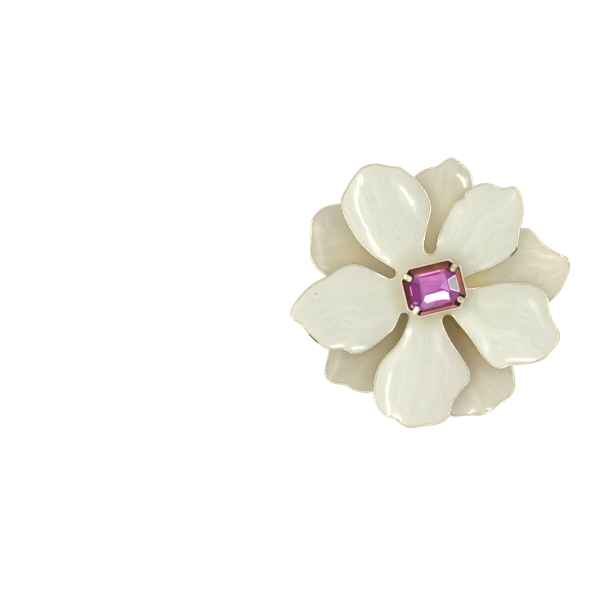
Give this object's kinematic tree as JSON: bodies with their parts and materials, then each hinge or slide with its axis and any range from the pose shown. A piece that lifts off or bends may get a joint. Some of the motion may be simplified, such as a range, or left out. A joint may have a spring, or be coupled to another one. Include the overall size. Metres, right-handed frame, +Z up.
{
  "type": "flower stud earring",
  "caption": "Two-layer enamelled flower earring with a claw-set step-cut stone and a straight post for a pierced ear.",
  "frame": {"origin": "on the surface that the earring rests on, below the middle of the flower's outline", "axes": "+Z up from the surface, +Y to the top of the flower, which is the raised side, and +X to its right seen from the front; the post points down and back to the surface"},
  "size_m": [0.0462, 0.044, 0.0248],
  "materials": {
    "gilt_metal": "polished pale gold plating",
    "front_enamel": "glossy pearl ivory enamel with fine lengthwise streaks",
    "back_enamel": "glossy pearl enamel, beige, darker towards the hub",
    "stone": "polished violet glass, foiled behind"
  },
  "bodies": {
    "root": {"front_petals": "gilt_metal", "front_enamel": "front_enamel", "back_petals": "gilt_metal", "back_enamel": "back_enamel", "setting": "gilt_metal", "stone": "stone", "ear_post": "gilt_metal"}
  },
  "joints": []
}
